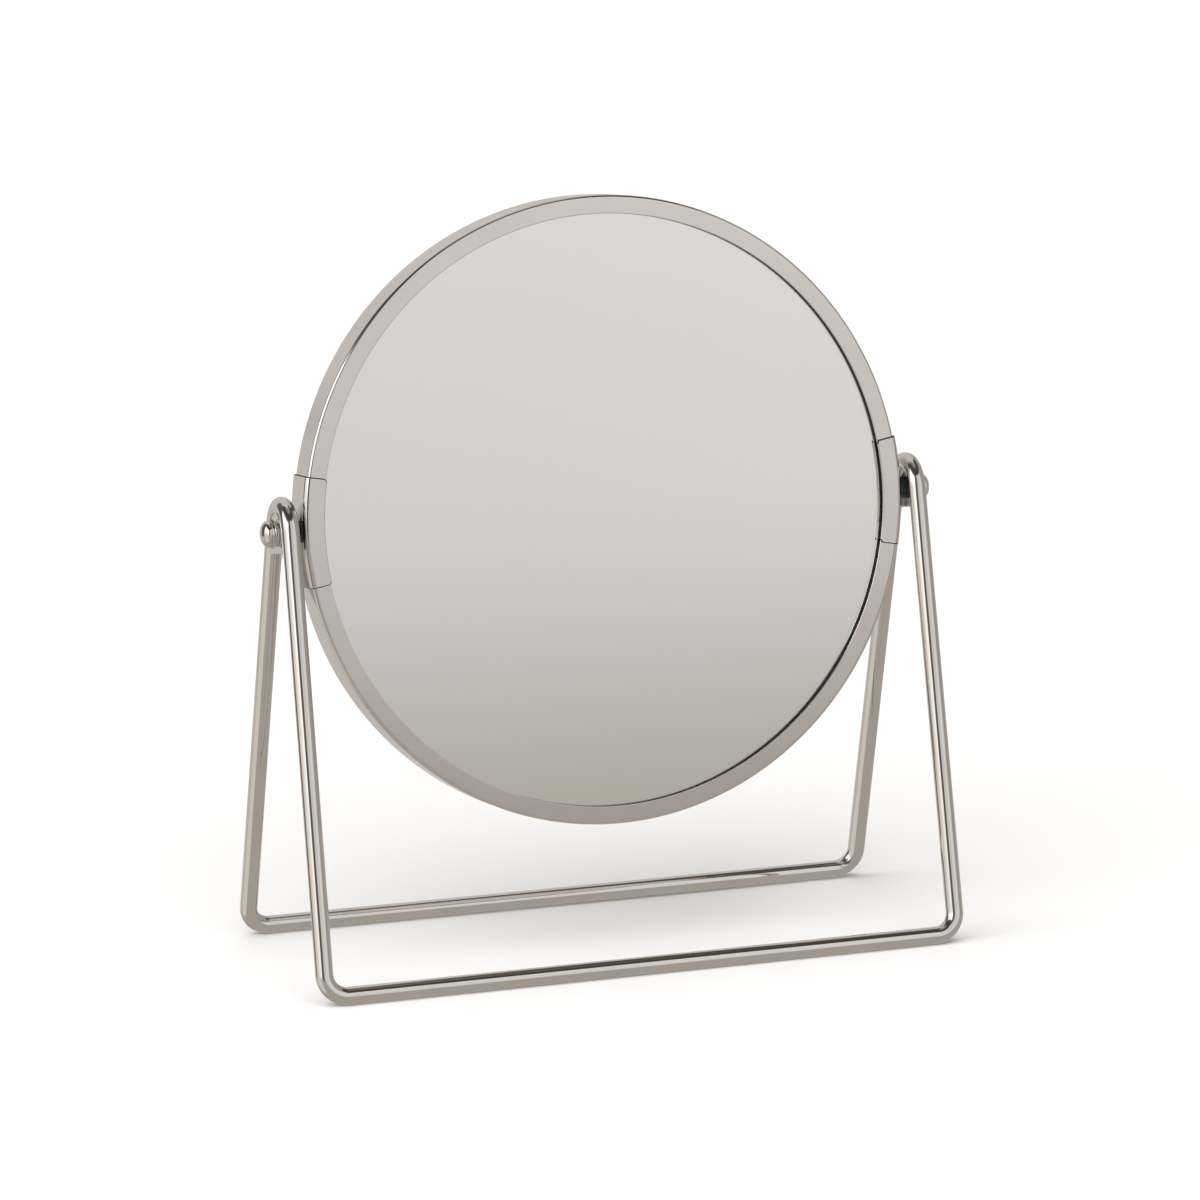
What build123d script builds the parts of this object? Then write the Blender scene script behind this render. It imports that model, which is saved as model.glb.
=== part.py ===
from build123d import *
import math
import os

# A double-sided swivel table mirror on a bent-wire stand, in millimetres.
# +Z is up, +X is to the viewer's right and +Y points away from the viewer.
# The origin is on the table, midway between the two base bars and straight
# below the pivot axis, which runs along X.

# Wire stand: one closed loop of round wire, with a base bar in front and one
# behind, four legs, and a hairpin arch over each pivot
WIRE_D = 4.76
BASE_HALF_WIDTH = 90.35  # to the wire's centreline, level with the bars
PIVOT_HALF_WIDTH = 89.6  # to the wire's centreline, level with the pivots
BASE_HALF_DEPTH = 36.5  # to the bars' centrelines
CORNER_BEND_R = 6.0  # centreline of the four bends beside the bars
ARCH_BEND_R = 7.3  # centreline of each hairpin, centred on the pivot axis
PIVOT_Z = 120.2

# Pivot plates, welded in between the legs under each arch
PLATE_T = 1.8
PLATE_OUTER_OFFSET = 1.9  # outer face, outboard of the wire's centreline
PLATE_ARCH_R = 5.6  # round upper edge, let into the inside of the arch
PLATE_DROP = 5.6  # straight lower edge, below the pivot axis
PLATE_FOOT_DEG = 11.0  # the lower edge falls this much towards the rear legs
PLATE_CORNER_R = 1.0

# Rim: a strip rolled into a channel around both mirrors
TILT_DEG = 6.8  # the top leans back
RIM_R = 85.0
RIM_DEPTH = 11.8
RIM_SHEET = 0.5
RIM_FOLD_R = 0.95  # outside of the fold between band and lip
LIP_R = 80.0  # inner edge of both lips
SHEET_EDGE_R = 0.2  # rounding of a lip's free edge
SEAM_GAP = 0.4  # between the strip's two ends
SEAM_DEG = -6.0  # from the right-hand pivot, covered by its clip

# Rim clips, one wrapped over the rim at each pivot
CLIP_SHEET = 0.6
CLIP_LENGTH = 30.0  # along the rim
CLIP_LIP_R = 79.8
CLIP_CORNER_R = 1.0
CLIP_GAP = 0.02  # to the rim, all round

# Mirrors: a flat one in front and a hollow one behind
GLASS_R = 83.9
GLASS_T = 1.8
SILVER_R = 83.4
SILVER_T = 0.1
MAGNIFIER_CURVE_R = 800.0

# Filling between the mirrors
CARD_R = 79.0
CARD_T = 0.8
PAD_R = 25.0
PAD_GAP = 0.1  # at the crown of the hollow mirror's back
SPACER_R = 83.2
SPACER_BORE_R = 79.6
SPACER_GAP = 0.05
POCKET_WIDTH = 8.0  # clears a rivet tail
POCKET_GAP = 0.3

# Pivot rivets and what is threaded on them
SHANK_D = 4.0
RUNNING_GAP = 0.05  # radial, in the pivot plate's bore
HOLE_GAP = 0.1  # radial, in the pieces that turn with the rivet
RUBBING_GAP = 0.02  # axial, on both sides of the pivot plate
HEAD_D = 7.2
HEAD_EDGE_H = 0.5  # straight edge below the head's dome
HEAD_DOME_H = 1.9
TAIL_D = 5.8
TAIL_H = 1.3
SPRING_WASHER_D = 7.0
SPRING_WASHER_T = 0.9
SPRING_WASHER_SLIT = 0.5
FLAT_WASHER_D = 7.8
FLAT_WASHER_T = 1.0
BUSH_D = 6.0
BACKING_WASHER_D = 6.6
BACKING_WASHER_T = 0.8

# Worked out from the sizes above
WIRE_R = WIRE_D / 2
SHANK_R = SHANK_D / 2
HOLE_R = SHANK_R + HOLE_GAP
LEG_RISE = PIVOT_Z - WIRE_R
LEG_ANGLE = math.atan2(BASE_HALF_DEPTH, LEG_RISE) - math.asin(
    ARCH_BEND_R / math.hypot(BASE_HALF_DEPTH, LEG_RISE)
)
APEX_Z = WIRE_R + BASE_HALF_DEPTH / math.tan(LEG_ANGLE)
LEG_LEAN = (BASE_HALF_WIDTH - PIVOT_HALF_WIDTH) / LEG_RISE
APEX_HALF_WIDTH = BASE_HALF_WIDTH - LEG_LEAN * (APEX_Z - WIRE_R)

HALF_DEPTH = RIM_DEPTH / 2
GLASS_FACE_Y = HALF_DEPTH - RIM_SHEET
BAND_BORE_R = RIM_R - RIM_SHEET
CLIP_INNER_R = RIM_R + CLIP_GAP
CLIP_OUTER_R = CLIP_INNER_R + CLIP_SHEET
CLIP_HALF_DEPTH = HALF_DEPTH + CLIP_GAP + CLIP_SHEET
PLAIN_BACK_Y = SILVER_T + GLASS_T - GLASS_FACE_Y
CARD_BACK_Y = PLAIN_BACK_Y + CARD_T

# Along the right-hand pivot, from the inside of the rim outwards. The backing
# washer is flat, so it meets the round band along two of its edges.
BACKING_OUTER_X = math.sqrt(BAND_BORE_R**2 - (BACKING_WASHER_D / 2) ** 2)
BACKING_INNER_X = BACKING_OUTER_X - BACKING_WASHER_T
TAIL_X = BACKING_INNER_X - TAIL_H
PLATE_OUTER_X = PIVOT_HALF_WIDTH + PLATE_OUTER_OFFSET
PLATE_INNER_X = PLATE_OUTER_X - PLATE_T
SPRING_WASHER_X = PLATE_OUTER_X + RUBBING_GAP
FLAT_WASHER_X = SPRING_WASHER_X + SPRING_WASHER_T
HEAD_X = FLAT_WASHER_X + FLAT_WASHER_T


def sagitta(radius):
    """How far the hollow mirror rises from its centre to the given radius."""
    return MAGNIFIER_CURVE_R - math.sqrt(MAGNIFIER_CURVE_R**2 - radius**2)


MAGNIFIER_CENTRE_Y = GLASS_FACE_Y - sagitta(GLASS_R)


def rectangle(low, high):
    """An upright rectangle in the XY plane between two corners."""
    width, height = high[0] - low[0], high[1] - low[1]
    return Pos((low[0] + high[0]) / 2, (low[1] + high[1]) / 2) * Rectangle(width, height)


def corners_at(sketch, x):
    """The corners of a sketch that stand at the given x."""
    return [corner for corner in sketch.vertices() if abs(corner.X - x) < 1e-4]


# The stand and its pivot plates


def wire_loop(radius):
    """Both halves of the loop, each swept from front bar to rear bar and joined."""
    loop = None
    for side in (-1, 1):
        path = FilletPolyline(
            (0, -BASE_HALF_DEPTH, WIRE_R),
            (side * BASE_HALF_WIDTH, -BASE_HALF_DEPTH, WIRE_R),
            (side * APEX_HALF_WIDTH, 0, APEX_Z),
            (side * BASE_HALF_WIDTH, BASE_HALF_DEPTH, WIRE_R),
            (0, BASE_HALF_DEPTH, WIRE_R),
            radius=[CORNER_BEND_R, ARCH_BEND_R, CORNER_BEND_R],
        )
        start = Plane((0, -BASE_HALF_DEPTH, WIRE_R), z_dir=(side, 0, 0))
        half = sweep(start * Circle(radius), path=path)
        loop = half if loop is None else loop + half
    return loop


def pivot_plate(wire):
    """A D-shaped plate whose round and sloping edges are let into the wire."""
    lean, fall = math.tan(LEG_ANGLE), math.tan(math.radians(PLATE_FOOT_DEG))
    shoulder_y = PLATE_ARCH_R * math.cos(LEG_ANGLE)
    shoulder_z = PLATE_ARCH_R * math.sin(LEG_ANGLE)
    foot_y = shoulder_y + (PLATE_DROP + shoulder_z) * lean
    front_y = -foot_y / (1 + fall * lean)
    rear_y = foot_y / (1 - fall * lean)
    outline = [
        ThreePointArc((shoulder_y, shoulder_z), (0, PLATE_ARCH_R), (-shoulder_y, shoulder_z)),
        Polyline(
            (-shoulder_y, shoulder_z),
            (front_y, -PLATE_DROP - fall * front_y),
            (rear_y, -PLATE_DROP - fall * rear_y),
            (shoulder_y, shoulder_z),
        ),
    ]
    shape = make_face(outline)
    feet = [corner for corner in shape.vertices() if corner.Y < 0]
    shape = fillet(feet, PLATE_CORNER_R) - Circle(SHANK_R + RUNNING_GAP)
    place = Plane.YZ.offset(PLATE_INNER_X) * Pos(0, PIVOT_Z)
    return extrude(place * shape, PLATE_T) - wire


# Pieces on the pivot axis, made at the right-hand end


def washer(diameter, start_x, thickness, slit=0.0):
    """A ring on the pivot axis, from start_x outwards, cut through below if it is split."""
    shape = Circle(diameter / 2) - Circle(HOLE_R)
    if slit:
        shape -= rectangle((-slit / 2, -diameter), (slit / 2, 0))
    return extrude(Plane.YZ.offset(start_x) * Pos(0, PIVOT_Z) * shape, thickness)


def rivet():
    """A domed head outside, a shank, and a flat tail set over the backing washer."""
    head_r, tail_r = HEAD_D / 2, TAIL_D / 2
    edge_x = HEAD_X + HEAD_EDGE_H
    crown_x = edge_x + HEAD_DOME_H
    dome_r = (head_r**2 + HEAD_DOME_H**2) / (2 * HEAD_DOME_H)
    outline = [
        Polyline(
            (crown_x, 0),
            (TAIL_X, 0),
            (TAIL_X, tail_r),
            (BACKING_INNER_X, tail_r),
            (BACKING_INNER_X, SHANK_R),
            (HEAD_X, SHANK_R),
            (HEAD_X, head_r),
            (edge_x, head_r),
        ),
        RadiusArc((edge_x, head_r), (crown_x, 0), dome_r),
    ]
    return Pos(0, 0, PIVOT_Z) * revolve(make_face(outline), Axis.X)


# The mirror head, made upright about its own centre with the flat mirror at -Y


def channel(lip_r, outer_r, half_depth, sheet, fold_r):
    """Section of a channel that opens towards the mirror's axis."""
    shape = rectangle((lip_r, -half_depth), (outer_r, half_depth))
    inside_r, inside_half = outer_r - sheet, half_depth - sheet
    shape -= rectangle((lip_r - sheet, -inside_half), (inside_r, inside_half))
    shape = fillet(corners_at(shape, outer_r), fold_r)
    shape = fillet(corners_at(shape, inside_r), fold_r - sheet)
    return fillet(corners_at(shape, lip_r), SHEET_EDGE_R)


def pivot_holes():
    """A bar along the pivot axis that drills both sides of the rim."""
    return Rot(0, 90, 0) * Cylinder(HOLE_R, 3 * RIM_R)


def rim_band():
    section = channel(LIP_R, RIM_R, HALF_DEPTH, RIM_SHEET, RIM_FOLD_R)
    seam = Rot(0, -SEAM_DEG, 0) * Pos(RIM_R, 0, 0) * Box(RIM_R / 4, 2 * RIM_DEPTH, SEAM_GAP)
    return revolve(section, Axis.Y) - pivot_holes() - seam


def rim_clip():
    sweep_deg = math.degrees(CLIP_LENGTH / RIM_R)
    fold_r = RIM_FOLD_R + CLIP_GAP + CLIP_SHEET
    section = channel(CLIP_LIP_R, CLIP_OUTER_R, CLIP_HALF_DEPTH, CLIP_SHEET, fold_r)
    clip = revolve(Rot(0, -sweep_deg / 2, 0) * section, Axis.Y, sweep_deg)
    return clip - pivot_holes() - clip_corners(sweep_deg / 2)


def clip_corners(half_sweep_deg):
    """What is trimmed off the four inner corners of a clip's lips to round them."""
    waste = None
    for side in (-1, 1):
        turn = Rot(0, -side * half_sweep_deg, 0)
        block = Box(2 * CLIP_CORNER_R, 3 * RIM_DEPTH, 2 * CLIP_CORNER_R)
        centre = (CLIP_LIP_R + CLIP_CORNER_R, 0, -side * CLIP_CORNER_R)
        drum = Pos(*centre) * Rot(90, 0, 0) * Cylinder(CLIP_CORNER_R, 4 * RIM_DEPTH)
        piece = turn * (Pos(CLIP_LIP_R, 0, 0) * block - drum)
        waste = piece if waste is None else waste + piece
    return waste


def round_plate(radius, low_y, high_y, bore_r=0.0):
    """A disc or ring about the mirror's axis."""
    return revolve(rectangle((bore_r, low_y), (radius, high_y)), Axis.Y)


def dished_plate(radius, centre_y, thickness):
    """A disc whose back is hollow, with centre_y at the middle of the hollow."""

    def arc(y):
        middle = (radius / 2, y + sagitta(radius / 2))
        return ThreePointArc((0, y), middle, (radius, y + sagitta(radius)))

    back = arc(centre_y)
    front = arc(centre_y - thickness)
    outline = [back, front, Line(back @ 0, front @ 0), Line(back @ 1, front @ 1)]
    return revolve(make_face(outline), Axis.Y)


def spacer_ring():
    """Holds the mirrors apart at their edges, with a pocket for each rivet tail."""
    top_y = MAGNIFIER_CENTRE_Y + sagitta(SPACER_BORE_R) - GLASS_T - SILVER_T - SPACER_GAP
    ring = round_plate(SPACER_R, PLAIN_BACK_Y, top_y, SPACER_BORE_R)
    pocket_x = TAIL_X - POCKET_GAP
    for side in (-1, 1):
        block = Box(SPACER_R, RIM_DEPTH, POCKET_WIDTH)
        ring -= Pos(side * (pocket_x + SPACER_R / 2), 0, 0) * block
    return ring


def head_pieces():
    """The mirror head's pieces, apart from what is on the pivot axis."""
    silver_y = MAGNIFIER_CENTRE_Y - GLASS_T
    pad_back_y = silver_y - SILVER_T - PAD_GAP
    glass_back_y = GLASS_T - GLASS_FACE_Y
    clip = rim_clip()
    return {
        "rim_band": rim_band(),
        "rim_clip_right": clip,
        "rim_clip_left": mirror(clip, about=Plane.YZ),
        "plain_mirror_glass": round_plate(GLASS_R, -GLASS_FACE_Y, glass_back_y),
        "plain_mirror_silvering": round_plate(SILVER_R, glass_back_y, PLAIN_BACK_Y),
        "magnifying_mirror_glass": dished_plate(GLASS_R, MAGNIFIER_CENTRE_Y, GLASS_T),
        "magnifying_mirror_silvering": dished_plate(SILVER_R, silver_y, SILVER_T),
        "backing_card": round_plate(CARD_R, PLAIN_BACK_Y, CARD_BACK_Y),
        "centre_pad": round_plate(PAD_R, CARD_BACK_Y, pad_back_y),
        "spacer_ring": spacer_ring(),
    }


def pivot_pieces(wire):
    """The right-hand pivot's pieces."""
    bush_length = PLATE_INNER_X - RUBBING_GAP - CLIP_OUTER_R
    return {
        "pivot_plate": pivot_plate(wire),
        "pivot_rivet": rivet(),
        "flat_washer": washer(FLAT_WASHER_D, FLAT_WASHER_X, FLAT_WASHER_T),
        "spring_washer": washer(
            SPRING_WASHER_D, SPRING_WASHER_X, SPRING_WASHER_T, SPRING_WASHER_SLIT
        ),
        "pivot_bush": washer(BUSH_D, CLIP_OUTER_R, bush_length),
        "backing_washer": washer(BACKING_WASHER_D, BACKING_INNER_X, BACKING_WASHER_T),
    }


def main():
    pieces = {"stand_wire": wire_loop(WIRE_R)}
    for name, piece in pivot_pieces(pieces["stand_wire"]).items():
        pieces[name + "_right"] = piece
        pieces[name + "_left"] = mirror(piece, about=Plane.YZ)
    placed = Pos(0, 0, PIVOT_Z) * Rot(-TILT_DEG, 0, 0)
    for name, piece in head_pieces().items():
        pieces[name] = placed * piece

    os.makedirs("parts", exist_ok=True)
    for name, piece in pieces.items():
        export_step(piece, f"parts/{name}.step")


main()
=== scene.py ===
import math

import bpy
from mathutils import Matrix, Vector


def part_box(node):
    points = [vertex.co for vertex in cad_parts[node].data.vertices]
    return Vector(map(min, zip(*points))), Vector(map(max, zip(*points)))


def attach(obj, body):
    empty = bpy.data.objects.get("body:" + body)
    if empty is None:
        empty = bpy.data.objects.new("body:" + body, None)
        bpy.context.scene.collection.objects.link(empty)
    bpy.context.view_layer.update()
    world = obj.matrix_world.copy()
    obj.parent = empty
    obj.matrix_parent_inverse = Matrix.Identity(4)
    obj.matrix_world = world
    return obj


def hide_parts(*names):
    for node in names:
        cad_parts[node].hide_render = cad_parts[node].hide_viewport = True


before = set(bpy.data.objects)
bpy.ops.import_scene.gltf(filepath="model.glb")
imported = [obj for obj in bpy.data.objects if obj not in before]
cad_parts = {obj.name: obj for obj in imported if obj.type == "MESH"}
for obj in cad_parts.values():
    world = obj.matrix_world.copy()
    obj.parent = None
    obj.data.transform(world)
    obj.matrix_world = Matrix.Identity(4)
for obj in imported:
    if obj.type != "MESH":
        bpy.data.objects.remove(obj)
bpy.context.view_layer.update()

# A double-sided swivel table mirror in chrome, on a bent-wire stand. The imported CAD
# model gives the places; what shows is built here again with exact surface normals,
# because polished chrome shows every facet. Shapes are in millimetres.

MM = 0.001

# Stand
WIRE_D = 4.76
BASE_HALF_WIDTH = 90.35
PIVOT_HALF_WIDTH = 89.6
BASE_HALF_DEPTH = 36.5
CORNER_BEND_R = 6.0
ARCH_BEND_R = 7.3
PLATE_ARCH_R = 5.6
PLATE_DROP = 5.6
PLATE_FOOT_DEG = 11.0
PLATE_CORNER_R = 1.0
PLATE_EDGE_R = 0.35
WELD_R = 0.42
WELD_END = 0.4  # above the middle of the plate's lower edge

# Rim and clips
TILT_DEG = 6.8
RIM_R = 85.0
RIM_DEPTH = 11.8
RIM_SHEET = 0.5
RIM_FOLD_R = 0.95
LIP_R = 80.0
SHEET_EDGE_R = 0.2
SEAM_GAP = 0.4
SEAM_DEG = -6.0
CLIP_SHEET = 0.6
CLIP_LENGTH = 30.0
CLIP_LIP_R = 79.8
CLIP_CORNER_R = 1.0
CLIP_GAP = 0.02

# Mirrors
GLASS_R = 83.9
GLASS_T = 1.8
GLASS_BEVEL = 0.3
SILVER_R = 83.4
SILVER_T = 0.1
SILVER_BEVEL = 0.02
SILVER_SINK = 0.01  # into the glass, so that the two faces don't coincide
LIP_CLEARANCE = 0.03  # between a glass and the lip over it
MAGNIFIER_CURVE_R = 800.0

# Foam pad between the mirrors' middles
CARD_T = 0.8
PAD_R = 25.0
PAD_GAP = 0.1
PAD_CROWN = 0.3  # the middle stands this much over the edge
PAD_BEVEL = 0.3

# Pivots
SHANK_D = 4.0
HOLE_GAP = 0.1
RUNNING_GAP = 0.05
TAIL_D = 5.8
TAIL_H = 1.3
TAIL_TIP_R = 0.5
TAIL_SHOULDER_R = 0.3
HEAD_SKIRT_H = 0.35  # the straight part of the head's edge, under its dome
HEAD_EDGE_R = 0.15
FLAT_WASHER_EDGE_R = 0.15
SPRING_WASHER_EDGE_R = 0.12
SPRING_WASHER_SLIT = 0.5
BUSH_EDGE_R = 0.25

# Fineness of the meshes: steps in degrees or millimetres, and numbers of parts
ARC_STEP_DEG = 4.0
FOLD_STEP_DEG = 10.0
CLIP_FOLD_STEP_DEG = 9.0
EDGE_STEP_DEG = 22.5
RIM_STEP_DEG = 1.0
GLASS_STEP_DEG = 2.0
PAD_STEP_DEG = 4.0
SMALL_STEP_DEG = 7.5
WIRE_RUN_STEP = 12.0
WELD_RUN_STEP = 1.0
WIRE_SIDES = 48
WELD_SIDES = 12
PLATE_EDGE_PARTS = 4
DOME_PARTS = 16
CLIP_COLUMNS = 24
CLIP_CORNER_PARTS = 8
CLIP_EDGE_PARTS = 6
GLASS_RINGS = 24
PAD_RINGS = 8
NEAR = 0.01  # the margin for telling faces apart, and half the run that a slope is taken over


# Shapes: rows of points with exact normals, skinned into faces


class Shape:
    """Faces with exact corner normals and a texture map in millimetres."""

    def __init__(self):
        self.points = []
        self.index = {}
        self.faces = []
        self.normals = []
        self.uvs = []
        self.finishes = []

    def point(self, p):
        """The index of p. Points that coincide are one point."""
        key = (round(p.x, 5), round(p.y, 5), round(p.z, 5))
        if key not in self.index:
            self.index[key] = len(self.points)
            self.points.append(p.copy())
        return self.index[key]

    def face(self, corners, finish=0):
        """A face from corners of (point, normal, uv). It turns its front to the normals."""
        kept = []
        for p, n, uv in corners:
            i = self.point(p)
            if i not in [k[0] for k in kept]:
                kept.append((i, n, uv))
        if len(kept) < 3:
            return
        area = Vector()
        for a, b in zip(kept, kept[1:] + kept[:1]):
            area += self.points[a[0]].cross(self.points[b[0]])
        if area.dot(sum((n for _, n, _ in kept), Vector())) < 0:
            kept.reverse()
        self.faces.append([k[0] for k in kept])
        self.normals.extend(k[1].normalized() for k in kept)
        self.uvs.extend(k[2] for k in kept)
        self.finishes.append(finish)

    def skin(self, rows, finish=0):
        """Quads between rows of (point, normal before it, normal after it).

        finish is one for all, or a list with one for each strip along the rows.
        """
        finishes = finish if isinstance(finish, list) else [finish] * (len(rows[0]) - 1)
        middle = len(rows[0]) // 2
        u = 0.0
        for low, high in zip(rows, rows[1:]):
            step = (high[middle][0] - low[middle][0]).length
            v = 0.0
            for i in range(len(low) - 1):
                rise = max((low[i + 1][0] - low[i][0]).length, (high[i + 1][0] - high[i][0]).length)
                self.face(
                    [
                        (low[i][0], low[i][2], (u, v)),
                        (low[i + 1][0], low[i + 1][1], (u, v + rise)),
                        (high[i + 1][0], high[i + 1][1], (u + step, v + rise)),
                        (high[i][0], high[i][2], (u + step, v)),
                    ],
                    finishes[i],
                )
                v += rise
            u += step

    def cap(self, row, normal):
        """One flat face over a closed row."""
        self.face([(p, normal, (p.x + p.y, p.z)) for p, _, _ in row[:-1]])

    def placed(self, matrix):
        """The same shape moved, turned or mirrored."""
        made = Shape()
        turn = matrix.to_3x3()
        start = 0
        for corners, finish in zip(self.faces, self.finishes):
            end = start + len(corners)
            made.face(
                [
                    (matrix @ self.points[i], turn @ n, uv)
                    for i, n, uv in zip(corners, self.normals[start:end], self.uvs[start:end])
                ],
                finish,
            )
            start = end
        return made

    def piece(self, name, finishes):
        """The Blender object, in metres."""
        mesh = bpy.data.meshes.new(name)
        mesh.from_pydata([p * MM for p in self.points], [], self.faces)
        layer = mesh.uv_layers.new(name="UVMap")
        layer.data.foreach_set("uv", [x for uv in self.uvs for x in uv])
        for finish in finishes:
            mesh.materials.append(finish)
        mesh.polygons.foreach_set("material_index", self.finishes)
        mesh.shade_smooth()
        mesh.normals_split_custom_set([tuple(n) for n in self.normals])
        mesh.update()
        made = bpy.data.objects.new(name, mesh)
        bpy.context.scene.collection.objects.link(made)
        return made


def rounded(corners, radii, closed=True, step_deg=ARC_STEP_DEG, run_step=None):
    """Stations (point, direction before, direction after) along runs joined by arcs."""
    points = [Vector(c).to_3d() for c in corners]
    count = len(points)
    stations = []
    for k, (corner, radius) in enumerate(zip(points, radii)):
        before = (corner - points[k - 1]).normalized()
        after = (points[(k + 1) % count] - corner).normalized()
        if not closed and k == 0:
            stations.append((corner, after, after))
        elif not closed and k == count - 1:
            stations.append((corner, before, before))
        elif radius == 0:
            stations.append((corner, before, after))
        else:
            turn = before.angle(after)
            start = corner - before * radius * math.tan(turn / 2)
            inward = (after - before * math.cos(turn)).normalized()
            centre = start + inward * radius
            steps = max(2, math.ceil(math.degrees(turn) / step_deg))
            for s in range(steps + 1):
                a = turn * s / steps
                p = centre - inward * radius * math.cos(a) + before * radius * math.sin(a)
                d = before * math.cos(a) + inward * math.sin(a)
                stations.append((p, d, d))
    if closed:
        stations.append(stations[0])
    if run_step:
        stations = divided(stations, run_step)
    return stations


def divided(stations, run_step):
    """The same stations with more of them along the long straight runs."""
    made = [stations[0]]
    for low, high in zip(stations, stations[1:]):
        length = (high[0] - low[0]).length
        parts = max(1, round(length / run_step))
        for s in range(1, parts):
            p = low[0].lerp(high[0], s / parts)
            made.append((p, low[2], low[2]))
        made.append(high)
    return made


def outward(stations):
    """A section from the stations of an anticlockwise outline, its normals facing out."""

    def normal(d):
        return Vector((d.y, -d.x, 0))

    return [(p, normal(a), normal(b)) for p, a, b in stations]


def at(place, section):
    """A section's row where place, a matrix, puts it."""
    turn = place.to_3x3()
    return [(place @ p, turn @ a, turn @ b) for p, a, b in section]


def basis(origin, x_axis, y_axis):
    """The matrix that puts a section's own axes along x_axis and y_axis."""
    z_axis = x_axis.cross(y_axis)
    columns = Matrix((x_axis, y_axis, z_axis)).transposed().to_4x4()
    columns.translation = origin
    return columns


def circle(radius, sides):
    """A round section."""
    made = []
    for s in range(sides + 1):
        a = 2 * math.pi * (s % sides) / sides
        n = Vector((math.cos(a), math.sin(a), 0))
        made.append((n * radius, n, n))
    return made


def tube(stations, radius, sides, closed=True, vary=None):
    """A round bar along stations. On a closed path its twist is spread evenly."""
    frames = []
    side = stations[0][2].orthogonal().normalized()
    for p, _, d in stations:
        side = (side - d * side.dot(d)).normalized()
        frames.append((p, side.copy(), d))
    twist = 0.0
    if closed:
        first, last = frames[0][1], frames[-1][1]
        twist = math.atan2(first.cross(last).dot(frames[0][2]), first.dot(last))
    length = sum((b[0] - a[0]).length for a, b in zip(frames, frames[1:]))
    run = 0.0
    rows = []
    for k, (p, side, d) in enumerate(frames):
        if k:
            run += (p - frames[k - 1][0]).length
        x_axis = Matrix.Rotation(-twist * run / length, 3, d) @ side
        size = radius * (vary(run / length) if vary else 1.0)
        rows.append(at(basis(p, x_axis, d.cross(x_axis)), circle(size, sides)))
    shape = Shape()
    shape.skin(rows)
    if not closed:
        shape.cap(rows[0], -frames[0][2])
        shape.cap(rows[-1], frames[-1][2])
    return shape


def turned(section, place, start_deg=0.0, end_deg=360.0, step_deg=SMALL_STEP_DEG, finish=0):
    """A section of (radius, height) turned about the second axis of place."""
    steps = max(3, math.ceil((end_deg - start_deg) / step_deg))
    whole = end_deg - start_deg >= 360
    rows = []
    for s in range(steps + 1):
        a = math.radians(start_deg + (end_deg - start_deg) * (s % steps if whole else s) / steps)
        out = Vector((math.cos(a), 0, math.sin(a)))
        rows.append(at(place @ basis(Vector(), out, Vector((0, 1, 0))), section))
    shape = Shape()
    shape.skin(rows, finish)
    if not whole:
        for row, sign in ((rows[0], -1), (rows[-1], 1)):
            a = math.radians(start_deg if sign < 0 else end_deg)
            along = place.to_3x3() @ Vector((-math.sin(a), 0, math.cos(a)))
            shape.cap(row, along * sign)
    return shape


# Places


def x_range(node):
    """A node's extent along X in millimetres."""
    low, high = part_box(node)
    return low.x / MM, high.x / MM


rivet_low, rivet_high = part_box("pivot_rivet_right")
PIVOT_Z = (rivet_low.z + rivet_high.z) / 2 / MM
HEAD_D = (rivet_high.z - rivet_low.z) / MM
WIRE_R = WIRE_D / 2
HALF_DEPTH = RIM_DEPTH / 2
GLASS_FACE_Y = HALF_DEPTH - RIM_SHEET

HEAD_PLACE = Matrix.Translation((0, 0, PIVOT_Z)) @ Matrix.Rotation(math.radians(-TILT_DEG), 4, "X")
# Turned pieces on the pivot have their height along +X
PIVOT_PLACE = Matrix.Translation((0, 0, PIVOT_Z)) @ Matrix.Rotation(math.radians(-90), 4, "Z")
MIRRORED = Matrix.Diagonal((-1, 1, 1, 1))


# Materials. Colours run from one to another in patches, and a bump's depth is in metres.

NOISE_RANGE = (0.3, 0.7)  # where most of a noise's values lie
STEEL_GRAIN_DEPTH = 1e-5
MOULDED_GRAIN_DEPTH = 3e-5
POLISHED = ((0.75, 0.73, 0.71), (0.78, 0.76, 0.74))


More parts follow.
